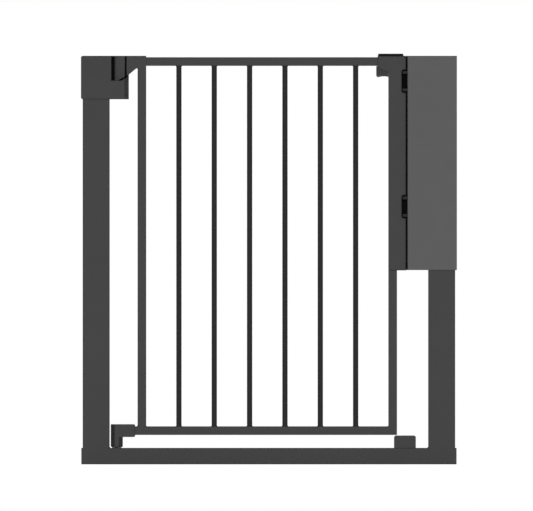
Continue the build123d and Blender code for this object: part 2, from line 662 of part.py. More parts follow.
# Lower hinge: an L-shaped bracket whose steep-sided leg turns on a pin in the floor bar
lower_pin_top = lower_arm_top - 12.0
lower_pin_bottom = bar_top + BUSH_FLANGE_THICK - BUSH_LENGTH - 1.0
with BuildPart() as lower_bracket:
    with BuildSketch(Plane.XY.offset(lower_arm_bottom)):
        with Locations((hinge_x + LOWER_ARM_END / 2, (LEG_REAR - LEG_FRONT) / 2)):
            Rectangle(LOWER_ARM_END, LEG_FRONT + LEG_REAR)
    extrude(amount=LOWER_ARM_HEIGHT)
    end_face = lower_bracket.faces().sort_by(Axis.X)[-1]
    chamfer(end_face.edges(), 1.8)
    with BuildSketch(Plane.XY.offset(leg_bottom)) as leg_outline:
        with Locations((hinge_x, 0)):
            Polygon(
                (LEG_FLAT / 2, -LEG_FRONT),
                (LEG_WIDTH / 2, LEG_SHOULDER),
                (LEG_BACK_FLAT / 2, LEG_REAR),
                (-LEG_BACK_FLAT / 2, LEG_REAR),
                (-LEG_WIDTH / 2, LEG_SHOULDER),
                (-LEG_FLAT / 2, -LEG_FRONT),
                align=None,
            )
        fillet(leg_outline.vertices(), LEG_ROUND)
    extrude(amount=lower_arm_top - leg_bottom)
    fillet(lower_bracket.faces().sort_by(Axis.Z)[0].edges(), 2.6)
    fillet(lower_bracket.faces().sort_by(Axis.Z)[-1].edges(), 1.0)
    with BuildSketch(Plane.YZ.offset(rail_left)):
        with Locations((0, DOOR_BOTTOM + tube_half)):
            Rectangle(TUBE, TUBE)
    extrude(amount=LOWER_ARM_END, mode=Mode.SUBTRACT)
    with Locations(Plane(origin=(hinge_x, 0, leg_bottom - 1), z_dir=(0, 0, -1))):
        Hole(PIN_DIAMETER / 2, depth=lower_pin_top - leg_bottom + 1)
    with Locations(rear_face(hinge_x + 25.0, LEG_REAR, DOOR_BOTTOM + tube_half)):
        Hole(SCREW / 2 + SLIP, depth=LEG_REAR - tube_half + 0.5)
keep(lower_bracket, "lower_hinge_bracket")

with BuildPart() as lower_pin:
    with BuildSketch(Plane.XY.offset(lower_pin_bottom)):
        with Locations((hinge_x, 0)):
            Circle(PIN_DIAMETER / 2)
    extrude(amount=lower_pin_top - lower_pin_bottom)
    chamfer(lower_pin.faces().sort_by(Axis.Z)[0].edges(), 0.8)
keep(lower_pin, "lower_hinge_pin")

for name, x, face_y, height in (
    ("upper_bracket_screw", door_left + tube_half, bracket_half, door_top - tube_half),
    ("lower_bracket_screw", hinge_x + 25.0, LEG_REAR, DOOR_BOTTOM + tube_half),
):
    with BuildPart() as screw:
        with BuildSketch(rear_face(x, face_y, height)):
            Circle(SCREW_HEAD / 2)
        extrude(amount=SCREW_HEAD_THICK)
        fillet(screw.faces().sort_by(Axis.Y)[-1].edges(), 1.2)
        with BuildSketch(rear_face(x, face_y, height)):
            Circle(SCREW / 2)
        extrude(amount=-(face_y - tube_half + TUBE_WALL))
    keep(screw, name)

# Handle: two shells clamped on the right stile and the end of the top rail
foot = handle_top - 34.0
handle_points = (
    (handle_left, handle_bottom),
    (handle_right, handle_bottom),
    (handle_right, handle_top - 6.0),
    (handle_right - 5.0, handle_top),
    (cap_left, handle_top),
    (cap_left, handle_top - CAP_SIDE),
    (cap_left + 8.0, handle_top - CAP_SIDE - 8.0),
    (handle_left - 3.0, handle_top - CAP_SIDE - 9.8),
    (handle_left, foot),
)
passage_bottom = handle_top - CAP_SIDE - 9.4
neck_left = handle_left + 2.0
neck_length = 14.0
thumb_travel = 5.0


def handle_outline():
    """The handle seen from the front, with a notch at each keeper."""
    Polygon(*handle_points, align=None)
    for centre in keeper_heights:
        roof = centre + NOTCH_HEIGHT / 2
        base = centre - NOTCH_HEIGHT / 2
        Polygon(
            (handle_right + 1, roof),
            (notch_inner + NOTCH_SLANT, roof),
            (notch_inner, roof - NOTCH_SLANT),
            (notch_inner, base + NOTCH_SLANT),
            (notch_inner + NOTCH_SLANT, base),
            (handle_right + 1, base),
            align=None,
            mode=Mode.SUBTRACT,
        )


for side, name in ((-1, "handle_front_shell"), (1, "handle_rear_shell")):
    middle = Plane.XZ if side < 0 else Plane.XZ.offset(-handle_half)
    with BuildPart() as shell:
        with BuildSketch(middle):
            handle_outline()
        extrude(amount=handle_half)
        outer = shell.faces().sort_by(Axis.Y)[-1 if side > 0 else 0]
        fillet(outer.edges(), HANDLE_EDGE)
        with BuildSketch(Plane.XZ if side < 0 else Plane.XZ.offset(-handle_inner)):
            handle_outline()
            offset(amount=-HANDLE_WALL, kind=Kind.INTERSECTION, mode=Mode.REPLACE)
        extrude(amount=handle_inner, mode=Mode.SUBTRACT)
        # way out for the trigger under the cap, and past the stile
        passage = ((cap_left - 1, handle_left, foot - 6, handle_top - CAP_SIDE + 1.0),
                   (handle_left - 1, handle_left + HANDLE_WALL + 1, passage_bottom, door_top))
        for left, right, low, high in passage:
            with Locations(((left + right) / 2, 0, (low + high) / 2)):
                Box(right - left, 2 * handle_inner, high - low, mode=Mode.SUBTRACT)
        # bosses on the stile
        stile_x = handle_left + tube_half
        for height in handle_screw_heights:
            with Locations(rear_face(stile_x, side * (tube_half + handle_inner + 0.5) / 2, height)):
                Cylinder(4.6, handle_inner + 0.5 - tube_half)
        # shelf above the latch spring
        shelf_left = stile_right + PLAY
        shelf_depth = handle_inner + 0.5 - ROD_DEPTH / 2 - TRAVEL_GAP
        shelf_y = side * (ROD_DEPTH / 2 + TRAVEL_GAP + shelf_depth / 2)
        with Locations(((shelf_left + handle_right - 1) / 2, shelf_y, shelf_z + shelf_thick / 2)):
            Box(handle_right - 1 - shelf_left, shelf_depth, shelf_thick)
        # room for the stile and the rail
        with Locations((handle_left, 0, handle_bottom)):
            stile_room = 2 * (rail_underside - handle_bottom)
            Box(2 * TUBE + 2 * SLIP, TUBE + 2 * SLIP, stile_room, mode=Mode.SUBTRACT)
        with Locations(((cap_left - 5 + stile_right + SLIP) / 2, 0, door_top - tube_half)):
            Box(stile_right + SLIP - cap_left + 5, TUBE + 2 * SLIP, TUBE + 2 * SLIP, mode=Mode.SUBTRACT)
        # guide holes of the lock pins in the roofs of the notches
        for centre in keeper_heights:
            with Locations((lock_pin_x, 0, centre + NOTCH_HEIGHT / 2 + HANDLE_WALL + 1)):
                Hole(LOCK_PIN / 2 + PLAY, depth=HANDLE_WALL + 4)
        # slot of the thumb slide
        with Locations((neck_left + (neck_length - thumb_travel) / 2, 0, handle_top)):
            slot_length = neck_length + thumb_travel + 2 * TRAVEL_GAP
            Box(slot_length, NECK_WIDTH + 2 * TRAVEL_GAP, 3 * HANDLE_WALL, mode=Mode.SUBTRACT)
        for height in handle_screw_heights:
            with Locations(rear_face(stile_x, handle_half, height)):
                if side > 0:
                    CounterBoreHole(SCREW / 2 + SLIP, SCREW_HEAD / 2 + SLIP, SCREW_HEAD_THICK, handle_half)
                else:
                    Hole(SCREW / 2, depth=HANDLE_DEPTH - 1.2)
    keep(shell, name)

with BuildPart() as handle_screws:
    long_screws(handle_left + tube_half, handle_half, -handle_half + 1.4, handle_screw_heights)
keep(handle_screws, "handle_screws")

# Latch: the trigger, a rod and two lock pins that move up and down as one
trigger_left = cap_left - 2.7
trigger_right = handle_left - SLIP
trigger_bottom = handle_top - TRIGGER_DROP
trigger_shoulder = handle_top - CAP_SIDE - TRAVEL_GAP
cheek_left = cap_left + HANDLE_WALL + TRAVEL_GAP
cheek_right = rod_right + 0.2
cheek_top = cross_pin_z + 3.6
arm_bottom = passage_bottom + LATCH_DROP + TRAVEL_GAP
with BuildPart() as trigger:
    with BuildSketch(Plane.XZ.offset(-cheek_outer)) as trigger_outline:
        Polygon(
            (trigger_left, trigger_bottom),
            (trigger_right, trigger_bottom),
            (trigger_right, arm_bottom),
            (cheek_right, arm_bottom),
            (cheek_right, cheek_top),
            (cheek_left, cheek_top),
            (cheek_left, trigger_shoulder),
            (trigger_left, trigger_shoulder),
            align=None,
        )
        fillet(trigger_outline.vertices().sort_by(Axis.Y)[:2].sort_by(Axis.X)[0], 4.0)
        with Locations(((trigger_left + trigger_right) / 2 + 3, trigger_bottom - 30.4)):
            Circle(32.0, mode=Mode.SUBTRACT)
    extrude(amount=2 * cheek_outer)
    # open above the finger bar, so that it straddles the rail and the stile
    with Locations(((trigger_left + cheek_right) / 2, 0, (rail_underside - 1.4 + cheek_top + 2) / 2)):
        fork_height = cheek_top + 2 - rail_underside + 1.4
        Box(cheek_right - trigger_left + 2, 2 * cheek_inner, fork_height, mode=Mode.SUBTRACT)
    finger_edges = trigger.edges().filter_by(
        lambda e: abs(abs(e.center().Y) - cheek_outer) < 0.01 and e.center().Z < trigger_bottom + 2.5
    )
    fillet(finger_edges, 0.6)
    with Locations(rear_face(rod_x, cheek_outer, cross_pin_z)):
        Hole(1.5)
keep(trigger, "trigger")

with BuildPart() as lock_rod:
    with Locations((rod_x, 0, (rod_bottom + rod_top) / 2)):
        Box(ROD_WIDTH, ROD_DEPTH, rod_top - rod_bottom)
    for centre in keeper_heights:
        with Locations(((rod_x + tab_right) / 2, 0, centre + tab_lift + tab_height / 2)):
            Box(tab_right - rod_x, ROD_DEPTH, tab_height)
    with Locations((rod_x, 0, collar_top - collar_thick / 2)):
        Box(8.0, 8.0, collar_thick)
    with Locations(rear_face(rod_x, ROD_DEPTH, cross_pin_z)):
        Hole(1.5)
keep(lock_rod, "lock_rod")

for centre, name in ((notch_upper_z, "upper_lock_pin"), (notch_lower_z, "lower_lock_pin")):
    with BuildPart() as lock_pin:
        pin_tip = centre + NOTCH_HEIGHT / 2 + 0.6
        with BuildSketch(Plane.XY.offset(pin_tip)):
            with Locations((lock_pin_x, 0)):
                Circle(LOCK_PIN / 2)
        extrude(amount=centre + tab_lift - pin_tip)
        chamfer(lock_pin.faces().sort_by(Axis.Z)[0].edges(), 0.5)
    keep(lock_pin, name)

with BuildPart() as cross_pin:
    with Locations(rear_face(rod_x, 0, cross_pin_z)):
        Cylinder(1.5, 2 * cheek_outer)
keep(cross_pin, "trigger_cross_pin")

spring_radius = 3.6
spring_pitch = (shelf_z - collar_top - LATCH_SPRING_WIRE - 0.2) / LATCH_SPRING_TURNS
with BuildPart() as latch_spring:
    with BuildLine() as latch_line:
        spring_foot = collar_top + LATCH_SPRING_WIRE / 2 + 0.1
        coil_path(rod_x, spring_foot, spring_radius, spring_pitch, LATCH_SPRING_TURNS)
    with BuildSketch(Plane(origin=latch_line.line @ 0, z_dir=latch_line.line % 0)):
        Circle(LATCH_SPRING_WIRE / 2)
    sweep(path=latch_line.line)
keep(latch_spring, "latch_spring")
print("gap between turns", round(spring_pitch - LATCH_SPRING_WIRE, 2), round(coil_pitch - CLOSING_WIRE, 2))

# Thumb slide on top of the handle, held by a foot under the handle's roof
thumb_right = handle_right - 5.0
with BuildPart() as thumb_slide:
    lip_back = -handle_half - PLAY
    lip_front = lip_back - THUMB_LIP
    plate_depth = THUMB_DEPTH / 2 - lip_front
    with BuildSketch(Plane.XY.offset(handle_top + 0.2)):
        with Locations((thumb_right - THUMB_LENGTH / 2, THUMB_DEPTH / 2 - plate_depth / 2)):
            RectangleRounded(THUMB_LENGTH, plate_depth, 1.0)
    extrude(amount=thumb_top - handle_top - 0.2)
    # a lip that hangs down in front of the handle
    with BuildSketch(Plane.XY.offset(handle_top + 0.4)):
        with Locations((thumb_right - THUMB_LENGTH / 2, (lip_front + lip_back) / 2)):
            Rectangle(THUMB_LENGTH - 2.0, THUMB_LIP)
    extrude(amount=-THUMB_LIP_DROP - 0.4)
    fillet(thumb_slide.faces().sort_by(Axis.Z)[-1].edges(), 0.7)
    # grip grooves across the top
    for groove in range(GRIP_GROOVES):
        groove_x = thumb_right - GRIP_PITCH * (groove + 1.5)
        with Locations((groove_x, 0, thumb_top)):
            Box(GRIP_PITCH / 2, THUMB_DEPTH - 4, 2 * GRIP_DEPTH, mode=Mode.SUBTRACT)
    foot_top = handle_top - HANDLE_WALL - PLAY
    with Locations((neck_left + neck_length / 2, 0, (foot_top - 0.2 + handle_top + 0.4) / 2)):
        Box(neck_length, NECK_WIDTH, handle_top + 0.4 - foot_top + 0.2)
    with Locations((neck_left + neck_length / 2, 0, (foot_top + door_top + TRAVEL_GAP) / 2)):
        Box(neck_length + 6.0, 12.0, foot_top - door_top - TRAVEL_GAP)
keep(thumb_slide, "thumb_slide")
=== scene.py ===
"""Dressed model of a safety gate: finishes, welds, screws, threads and a plain studio."""
import json
import logging
import math
from dataclasses import dataclass
from enum import Enum
from typing import Callable, Iterable, Mapping, Sequence

import bmesh
import bpy
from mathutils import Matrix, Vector


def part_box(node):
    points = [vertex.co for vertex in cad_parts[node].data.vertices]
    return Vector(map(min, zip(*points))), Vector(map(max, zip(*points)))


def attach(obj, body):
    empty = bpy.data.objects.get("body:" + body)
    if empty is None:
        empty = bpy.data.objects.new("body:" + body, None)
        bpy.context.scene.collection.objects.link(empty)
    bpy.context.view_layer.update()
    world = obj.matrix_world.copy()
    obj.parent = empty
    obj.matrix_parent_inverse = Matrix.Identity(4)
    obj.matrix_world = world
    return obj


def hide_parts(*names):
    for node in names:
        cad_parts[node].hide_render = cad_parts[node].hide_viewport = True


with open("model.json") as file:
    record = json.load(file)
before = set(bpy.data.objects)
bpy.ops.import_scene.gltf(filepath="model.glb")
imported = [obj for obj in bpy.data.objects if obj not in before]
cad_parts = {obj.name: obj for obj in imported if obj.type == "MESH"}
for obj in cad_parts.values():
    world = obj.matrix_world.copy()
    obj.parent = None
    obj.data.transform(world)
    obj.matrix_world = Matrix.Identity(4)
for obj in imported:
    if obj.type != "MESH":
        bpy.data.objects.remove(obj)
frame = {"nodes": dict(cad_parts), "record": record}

logging.basicConfig(level=logging.INFO, format="%(name)s: %(message)s")
LOG = logging.getLogger("safety_gate")
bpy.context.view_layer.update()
MM = 0.001
# Places closer than this many metres count as one
TOUCH = 0.000001
# A unit direction's share on an axis above which it runs along the axis, and below which it runs across it
ALONG = 0.9
ACROSS = 0.1

Point = tuple[float, float, float]
Test = Callable[[Vector, Vector], bool]


class Texture(Enum):
    """The kinds of surface that the gate's pieces have."""

    COATED = "sprayed_coat"
    MOULDED = "mould_grain"
    METAL = "drawn_metal"


class NodeSheet:
    """A node tree with short calls to add nodes and join them."""

    def __init__(self, tree: bpy.types.NodeTree) -> None:
        """Keeps the tree.

        Args:
            tree: the node tree that is filled.
        """
        self.tree = tree

    def add(self, kind: str, **settings: object) -> bpy.types.Node:
        """Adds a node.

        Args:
            kind: the node's type name.
            settings: attributes to set on it.

        Returns:
            The new node.
        """
        node = self.tree.nodes.new(kind)
        for key, value in settings.items():
            setattr(node, key, value)
        return node

    def feed(self, target: bpy.types.NodeSocket, source: object) -> None:
        """Links a socket to the target, or sets the target to a value.

        Args:
            target: the input socket that is fed.
            source: an output socket or a value.
        """
        if isinstance(source, bpy.types.NodeSocket):
            self.tree.links.new(source, target)
        else:
            target.default_value = source

    def math(self, operation: str, first: object, second: object = 0.0,
             third: object = 0.0) -> bpy.types.NodeSocket:
        """Adds a Math node.

        Args:
            operation: the Math node's operation.
            first: a socket or a number.
            second: a socket or a number.
            third: a socket or a number.

        Returns:
            The node's output socket.
        """
        node = self.add("ShaderNodeMath", operation=operation)
        for socket, source in zip(node.inputs, (first, second, third)):
            self.feed(socket, source)
        return node.outputs[0]

    def swing(self, value: object, middle: float, amount: object) -> bpy.types.NodeSocket:
        """How far a value is from its middle, times an amount.

        Args:
            value: a socket or a number.
            middle: the value that gives 0.
            amount: a socket or a number.

        Returns:
            The product's socket.
        """
        return self.math("MULTIPLY", self.math("SUBTRACT", value, middle), amount)

    def noise(self, vector: object, scale: object, detail: float) -> bpy.types.NodeSocket:
        """Adds a noise texture.

        Args:
            vector: the place socket.
            scale: a socket or a number.
            detail: how many octaves the noise has.

        Returns:
            The noise's value socket, from 0 to 1.
        """
        node = self.add("ShaderNodeTexNoise")
        self.feed(node.inputs["Vector"], vector)
        self.feed(node.inputs["Scale"], scale)
        self.feed(node.inputs["Detail"], detail)
        return node.outputs["Fac"]

    def ramp(self, value: object, low: float, high: float, start: float,
             end: float) -> bpy.types.NodeSocket:
        """Adds a smooth Map Range node from low..high to start..end.

        Args:
            value: the socket that is mapped.
            low: the value that gives start.
            high: the value that gives end.
            start: the result at low.
            end: the result at high.

        Returns:
            The mapped value's socket.
        """
        node = self.add("ShaderNodeMapRange", interpolation_type="SMOOTHSTEP")
        sources = {"Value": value, "From Min": low, "From Max": high, "To Min": start, "To Max": end}
        for key, source in sources.items():
            self.feed(node.inputs[key], source)
        return node.outputs["Result"]

    def scaled(self, colour: object, factor: object) -> bpy.types.NodeSocket:
        """Multiplies a colour by a factor.

        Args:
            colour: a socket or a colour.
            factor: a socket or a number.

        Returns:
            The product's socket.
        """
        node = self.add("ShaderNodeVectorMath", operation="SCALE")
        self.feed(node.inputs["Vector"], colour)
        self.feed(node.inputs["Scale"], factor)
        return node.outputs["Vector"]


class SurfaceGroups:
    """Node groups for the effects that several finishes share."""

    SURFACE_INPUTS = (
        ("Place", "NodeSocketVector"),
        ("Base Colour", "NodeSocketColor"),
        ("Base Roughness", "NodeSocketFloat"),
        ("Grain Scale", "NodeSocketFloat"),
        ("Fleck", "NodeSocketFloat"),
    )
    SURFACE_OUTPUTS = (
        ("Colour", "NodeSocketColor"),
        ("Roughness", "NodeSocketFloat"),
        ("Height", "NodeSocketFloat"),
    )
    NOISE_MIDDLE = 0.5
    COAT_FLECK_RATIO = 4.6
    COAT_CLOUD_SCALE = 11.0
    COAT_CLOUD_SHARE = 0.5
    COAT_SWAY = 0.22
    COAT_FLECK_RELIEF = 0.3
    PEBBLE_SMOOTHNESS = 0.4
    PEBBLE_MIDDLE = 0.4
    MOULD_FINE_RATIO = 2.3
    MOULD_FLOW_SCALE = 26.0
    MOULD_SWAY = 0.18
    MOULD_FINE_RELIEF = 0.35
    PLATING_RATIO = 0.12
    PLATING_SWAY = 0.35
    SEAM_CORE = 0.45
    RUB_PATCH_SCALE = 140.0

    def __init__(self) -> None:
        """Builds every group once."""
        self.surfaces: dict[Texture, bpy.types.NodeTree] = {
            Texture.COATED: self.sprayed_coat(),
            Texture.MOULDED: self.mould_grain(),
            Texture.METAL: self.drawn_metal(),
        }
        self.parting = self.parting_line()
        self.rub = self.rubbed_edge()

    @staticmethod
    def start(name: str, inputs: Sequence[tuple[str, str]], outputs: Sequence[tuple[str, str]]) -> tuple:
        """Makes an empty group with its sockets.

        Args:
            name: the group's name.
            inputs: name and socket type of each input.
            outputs: name and socket type of each output.

        Returns:
            The node sheet, the group's inputs by name and its output node.
        """
        tree = bpy.data.node_groups.new(name, "ShaderNodeTree")
        for label, kind in inputs:
            tree.interface.new_socket(label, in_out="INPUT", socket_type=kind)
        for label, kind in outputs:
            tree.interface.new_socket(label, in_out="OUTPUT", socket_type=kind)
        sheet = NodeSheet(tree)
        entry = sheet.add("NodeGroupInput")
        leave = sheet.add("NodeGroupOutput")
        return sheet, entry.outputs, leave.inputs

    @staticmethod
    def close(sheet: NodeSheet, given: Mapping, out: Mapping, tints: tuple, sway: object,
              height: object) -> None:
        """Feeds a surface group's three outputs.

        Args:
            sheet: the group's node sheet.
            given: the group's inputs by name.
            out: the group's outputs by name.
            tints: the two changes to the base colour, as shares of it.
            sway: the change to the base roughness.
            height: the relief.
        """
        factor = sheet.math("ADD", sheet.math("ADD", *tints), 1.0)
        sheet.feed(out["Colour"], sheet.scaled(given["Base Colour"], factor))
        sheet.feed(out["Roughness"], sheet.math("ADD", given["Base Roughness"], sway))
        sheet.feed(out["Height"], height)

    def sprayed_coat(self) -> bpy.types.NodeTree:
        """Baked powder coat: a slight orange peel, fine flecks and a coat thicker in places.

        Returns:
            The node group.
        """
        sheet, given, out = self.start("sprayed_coat", self.SURFACE_INPUTS, self.SURFACE_OUTPUTS)
        place, grain, amount = given["Place"], given["Grain Scale"], given["Fleck"]
        peel = sheet.noise(place, grain, 2.0)
        fleck = sheet.noise(place, sheet.math("MULTIPLY", grain, self.COAT_FLECK_RATIO), 3.0)
        cloud = sheet.noise(place, self.COAT_CLOUD_SCALE, 2.0)
        lift = sheet.swing(fleck, self.NOISE_MIDDLE, amount)
        share = sheet.math("MULTIPLY", amount, self.COAT_CLOUD_SHARE)
        drift = sheet.swing(cloud, self.NOISE_MIDDLE, share)
        sway = sheet.swing(peel, self.NOISE_MIDDLE, self.COAT_SWAY)
        height = sheet.math("MULTIPLY_ADD", fleck, self.COAT_FLECK_RELIEF, peel)
        self.close(sheet, given, out, (lift, drift), sway, height)
        return sheet.tree

    def mould_grain(self) -> bpy.types.NodeTree:
        """Moulded plastic: a pebbled grain from the mould and faint flow marks.

        Returns:
            The node group.
        """
        sheet, given, out = self.start("mould_grain", self.SURFACE_INPUTS, self.SURFACE_OUTPUTS)
        place, grain, amount = given["Place"], given["Grain Scale"], given["Fleck"]
        cells = sheet.add("ShaderNodeTexVoronoi", feature="SMOOTH_F1")
        sheet.feed(cells.inputs["Vector"], place)
        sheet.feed(cells.inputs["Scale"], grain)
        sheet.feed(cells.inputs["Smoothness"], self.PEBBLE_SMOOTHNESS)
        pebble = cells.outputs["Distance"]
        fine = sheet.noise(place, sheet.math("MULTIPLY", grain, self.MOULD_FINE_RATIO), 2.0)
        flow = sheet.noise(place, self.MOULD_FLOW_SCALE, 3.0)
        lift = sheet.swing(pebble, self.PEBBLE_MIDDLE, amount)
        drift = sheet.swing(flow, self.NOISE_MIDDLE, amount)
        sway = sheet.swing(flow, self.NOISE_MIDDLE, self.MOULD_SWAY)
        height = sheet.math("MULTIPLY_ADD", fine, self.MOULD_FINE_RELIEF, pebble)
        self.close(sheet, given, out, (lift, drift), sway, height)
        return sheet.tree

    def drawn_metal(self) -> bpy.types.NodeTree:
        """Drawn or pressed metal: fine lines along the stretched direction and a cloudy plating.

        Returns:
            The node group.
        """
        sheet, given, out = self.start("drawn_metal", self.SURFACE_INPUTS, self.SURFACE_OUTPUTS)
        place, grain, amount = given["Place"], given["Grain Scale"], given["Fleck"]
        lines = sheet.noise(place, grain, 3.0)
        cloud = sheet.noise(place, sheet.math("MULTIPLY", grain, self.PLATING_RATIO), 2.0)
        lift = sheet.swing(lines, self.NOISE_MIDDLE, amount)
        drift = sheet.swing(cloud, self.NOISE_MIDDLE, amount)
        sway = sheet.swing(cloud, self.NOISE_MIDDLE, self.PLATING_SWAY)
        self.close(sheet, given, out, (lift, drift), sway, lines)
        return sheet.tree

    def parting_line(self) -> bpy.types.NodeTree:
        """A mask that is 1 on the line where two moulded halves meet, at the middle of the gate's depth.

        Returns:
            The node group.
        """
        inputs = (("Place", "NodeSocketVector"), ("Half Width", "NodeSocketFloat"))
        sheet, given, out = self.start("parting_line", inputs, (("Mask", "NodeSocketFloat"),))
        split = sheet.add("ShaderNodeSeparateXYZ")
        sheet.feed(split.inputs[0], given["Place"])
        reach = sheet.math("DIVIDE", sheet.math("ABSOLUTE", split.outputs["Y"]), given["Half Width"])
        sheet.feed(out["Mask"], sheet.ramp(reach, low=self.SEAM_CORE, high=1.0, start=1.0, end=0.0))
        return sheet.tree

    def rubbed_edge(self) -> bpy.types.NodeTree:
        """A mask for a surface that hands polish: strongest near one height, broken up by noise.

        Returns:
            The node group.
        """
        inputs = (
            ("Place", "NodeSocketVector"),
            ("Height", "NodeSocketFloat"),
            ("Reach", "NodeSocketFloat"),
        )
        sheet, given, out = self.start("rubbed_edge", inputs, (("Mask", "NodeSocketFloat"),))
        split = sheet.add("ShaderNodeSeparateXYZ")
        sheet.feed(split.inputs[0], given["Place"])
        away = sheet.math("ABSOLUTE", sheet.math("SUBTRACT", split.outputs["Z"], given["Height"]))
        share = sheet.math("DIVIDE", away, given["Reach"])
        near = sheet.ramp(share, low=0.0, high=1.0, start=1.0, end=0.0)
        spots = sheet.noise(given["Place"], self.RUB_PATCH_SCALE, 3.0)
        patch = sheet.ramp(spots, low=0.35, high=0.7, start=0.0, end=1.0)
        sheet.feed(out["Mask"], sheet.math("MULTIPLY", near, patch))
        return sheet.tree


@dataclass(frozen=True)
class Finish:
    """One surface finish.

    Lengths are metres and the grain scale is in cells to a metre.
    """

    name: str
    texture: Texture
    colour: Point
    roughness: float
    grain: float
    fleck: float
    relief: float
    specular: float = 0.3
    metallic: float = 0.0
    stretch: Point = (1.0, 1.0, 1.0)
    seam: bool = False
    rubbed: tuple[float, float] | None = None
    seam_half_width: float = 0.35 * MM
    seam_shade: float = 0.8
    seam_depth: float = 4.0
    rub_polish: float = 0.16
    rub_lift: float = 0.12

    def material(self, groups: SurfaceGroups) -> bpy.types.Material:
        """Builds the finish as a material.

        Args:
            groups: the shared node groups.

        Returns:
            The new material.
        """
        made = bpy.data.materials.new(self.name)
        made.use_nodes = True
        made.diffuse_color = (*self.colour, 1.0)
        sheet = NodeSheet(made.node_tree)
        shader = made.node_tree.nodes["Principled BSDF"]
        place = sheet.add("ShaderNodeTexCoord").outputs["Object"]
        surface = sheet.add("ShaderNodeGroup", node_tree=groups.surfaces[self.texture])
        turned = sheet.add("ShaderNodeMapping")
        sheet.feed(turned.inputs["Vector"], place)
        turned.inputs["Scale"].default_value = self.stretch
        sheet.feed(surface.inputs["Place"], turned.outputs["Vector"])
        surface.inputs["Base Colour"].default_value = (*self.colour, 1.0)
        surface.inputs["Base Roughness"].default_value = self.roughness
        surface.inputs["Grain Scale"].default_value = self.grain
        surface.inputs["Fleck"].default_value = self.fleck
        colour = surface.outputs["Colour"]
        roughness = surface.outputs["Roughness"]
        height = surface.outputs["Height"]
        if self.seam:
            line = sheet.add("ShaderNodeGroup", node_tree=groups.parting)
            sheet.feed(line.inputs["Place"], place)
            line.inputs["Half Width"].default_value = self.seam_half_width
            mask = line.outputs["Mask"]
            colour = sheet.scaled(colour, sheet.math("MULTIPLY_ADD", mask, -self.seam_shade, 1.0))
            height = sheet.math("MULTIPLY_ADD", mask, -self.seam_depth, height)
        if self.rubbed is not None:
            rub = sheet.add("ShaderNodeGroup", node_tree=groups.rub)
            sheet.feed(rub.inputs["Place"], place)
            rub.inputs["Height"].default_value = self.rubbed[0]
            rub.inputs["Reach"].default_value = self.rubbed[1]
            mask = rub.outputs["Mask"]
            roughness = sheet.math("MULTIPLY_ADD", mask, -self.rub_polish, roughness)
            colour = sheet.scaled(colour, sheet.math("MULTIPLY_ADD", mask, self.rub_lift, 1.0))
        bump = sheet.add("ShaderNodeBump")
        bump.inputs["Strength"].default_value = 1.0
        bump.inputs["Distance"].default_value = self.relief
        sheet.feed(bump.inputs["Height"], height)
        sheet.feed(shader.inputs["Base Color"], colour)
        sheet.feed(shader.inputs["Roughness"], roughness)
        sheet.feed(shader.inputs["Normal"], bump.outputs["Normal"])
        shader.inputs["Metallic"].default_value = self.metallic
        shader.inputs["Specular IOR Level"].default_value = self.specular
        return made


def grey(level: float) -> Point:
    """A neutral colour.

    Args:
        level: the linear level of each channel.

    Returns:
        The colour.
    """
    return (level, level, level)


FRAME_GREY = grey(0.061)
MATTE = 0.03

FINISHES: dict[str, Finish] = {
    "coated_tube": Finish("frame_coat", Texture.COATED, FRAME_GREY, roughness=0.72, grain=900.0, fleck=0.16,
                          relief=0.00006, specular=MATTE),
    "coated_bar": Finish("bar_coat", Texture.COATED, grey(0.028), roughness=0.72, grain=900.0, fleck=0.16,
                         relief=0.00005, specular=MATTE),
    "moulded_grey": Finish("moulded_grey", Texture.MOULDED, FRAME_GREY, roughness=0.76, grain=1500.0,
                           fleck=0.14, relief=0.00006, specular=MATTE, seam=True),
    "cast_bracket": Finish("cast_bracket", Texture.COATED, FRAME_GREY, roughness=0.7, grain=600.0, fleck=0.18,
                           relief=0.00009, specular=MATTE),
    "lock_box_grey": Finish("lock_box_grey", Texture.MOULDED, grey(0.112), roughness=0.74, grain=1300.0,
                            fleck=0.1, relief=0.00005, specular=MATTE, seam=True),
    "trigger_grey": Finish("trigger_grey", Texture.MOULDED, grey(0.036), roughness=0.62, grain=1700.0,
                           fleck=0.12, relief=0.00004, specular=0.08, rubbed=(0.719, 0.012)),
    "dark_plastic": Finish("thumb_black", Texture.MOULDED, grey(0.009), roughness=0.7, grain=1800.0,
                           fleck=0.2, relief=0.00004, specular=MATTE, rubbed=(0.761, 0.002)),
    "bush_plastic": Finish("bush_black", Texture.MOULDED, grey(0.014), roughness=0.5, grain=2000.0,
                           fleck=0.15, relief=0.00003, specular=0.15),
    "bumper_rubber": Finish("bumper_rubber", Texture.MOULDED, grey(0.004), roughness=0.95, grain=2400.0,
                            fleck=0.3, relief=0.00008, specular=MATTE),
    "keeper_steel": Finish("keeper_coat", Texture.COATED, grey(0.02), roughness=0.62, grain=1100.0, fleck=0.2,
                           relief=0.00005, specular=0.1),
    "zinc_steel": Finish("zinc_steel", Texture.METAL, (0.5, 0.51, 0.52), roughness=0.34, grain=1600.0,
                         fleck=0.25, relief=0.00003, metallic=1.0, stretch=(1.0, 0.2, 1.0)),
    "spring_steel": Finish("spring_steel", Texture.METAL, (0.3, 0.29, 0.28), roughness=0.36, grain=2200.0,
                           fleck=0.3, relief=0.00002, metallic=1.0),
}


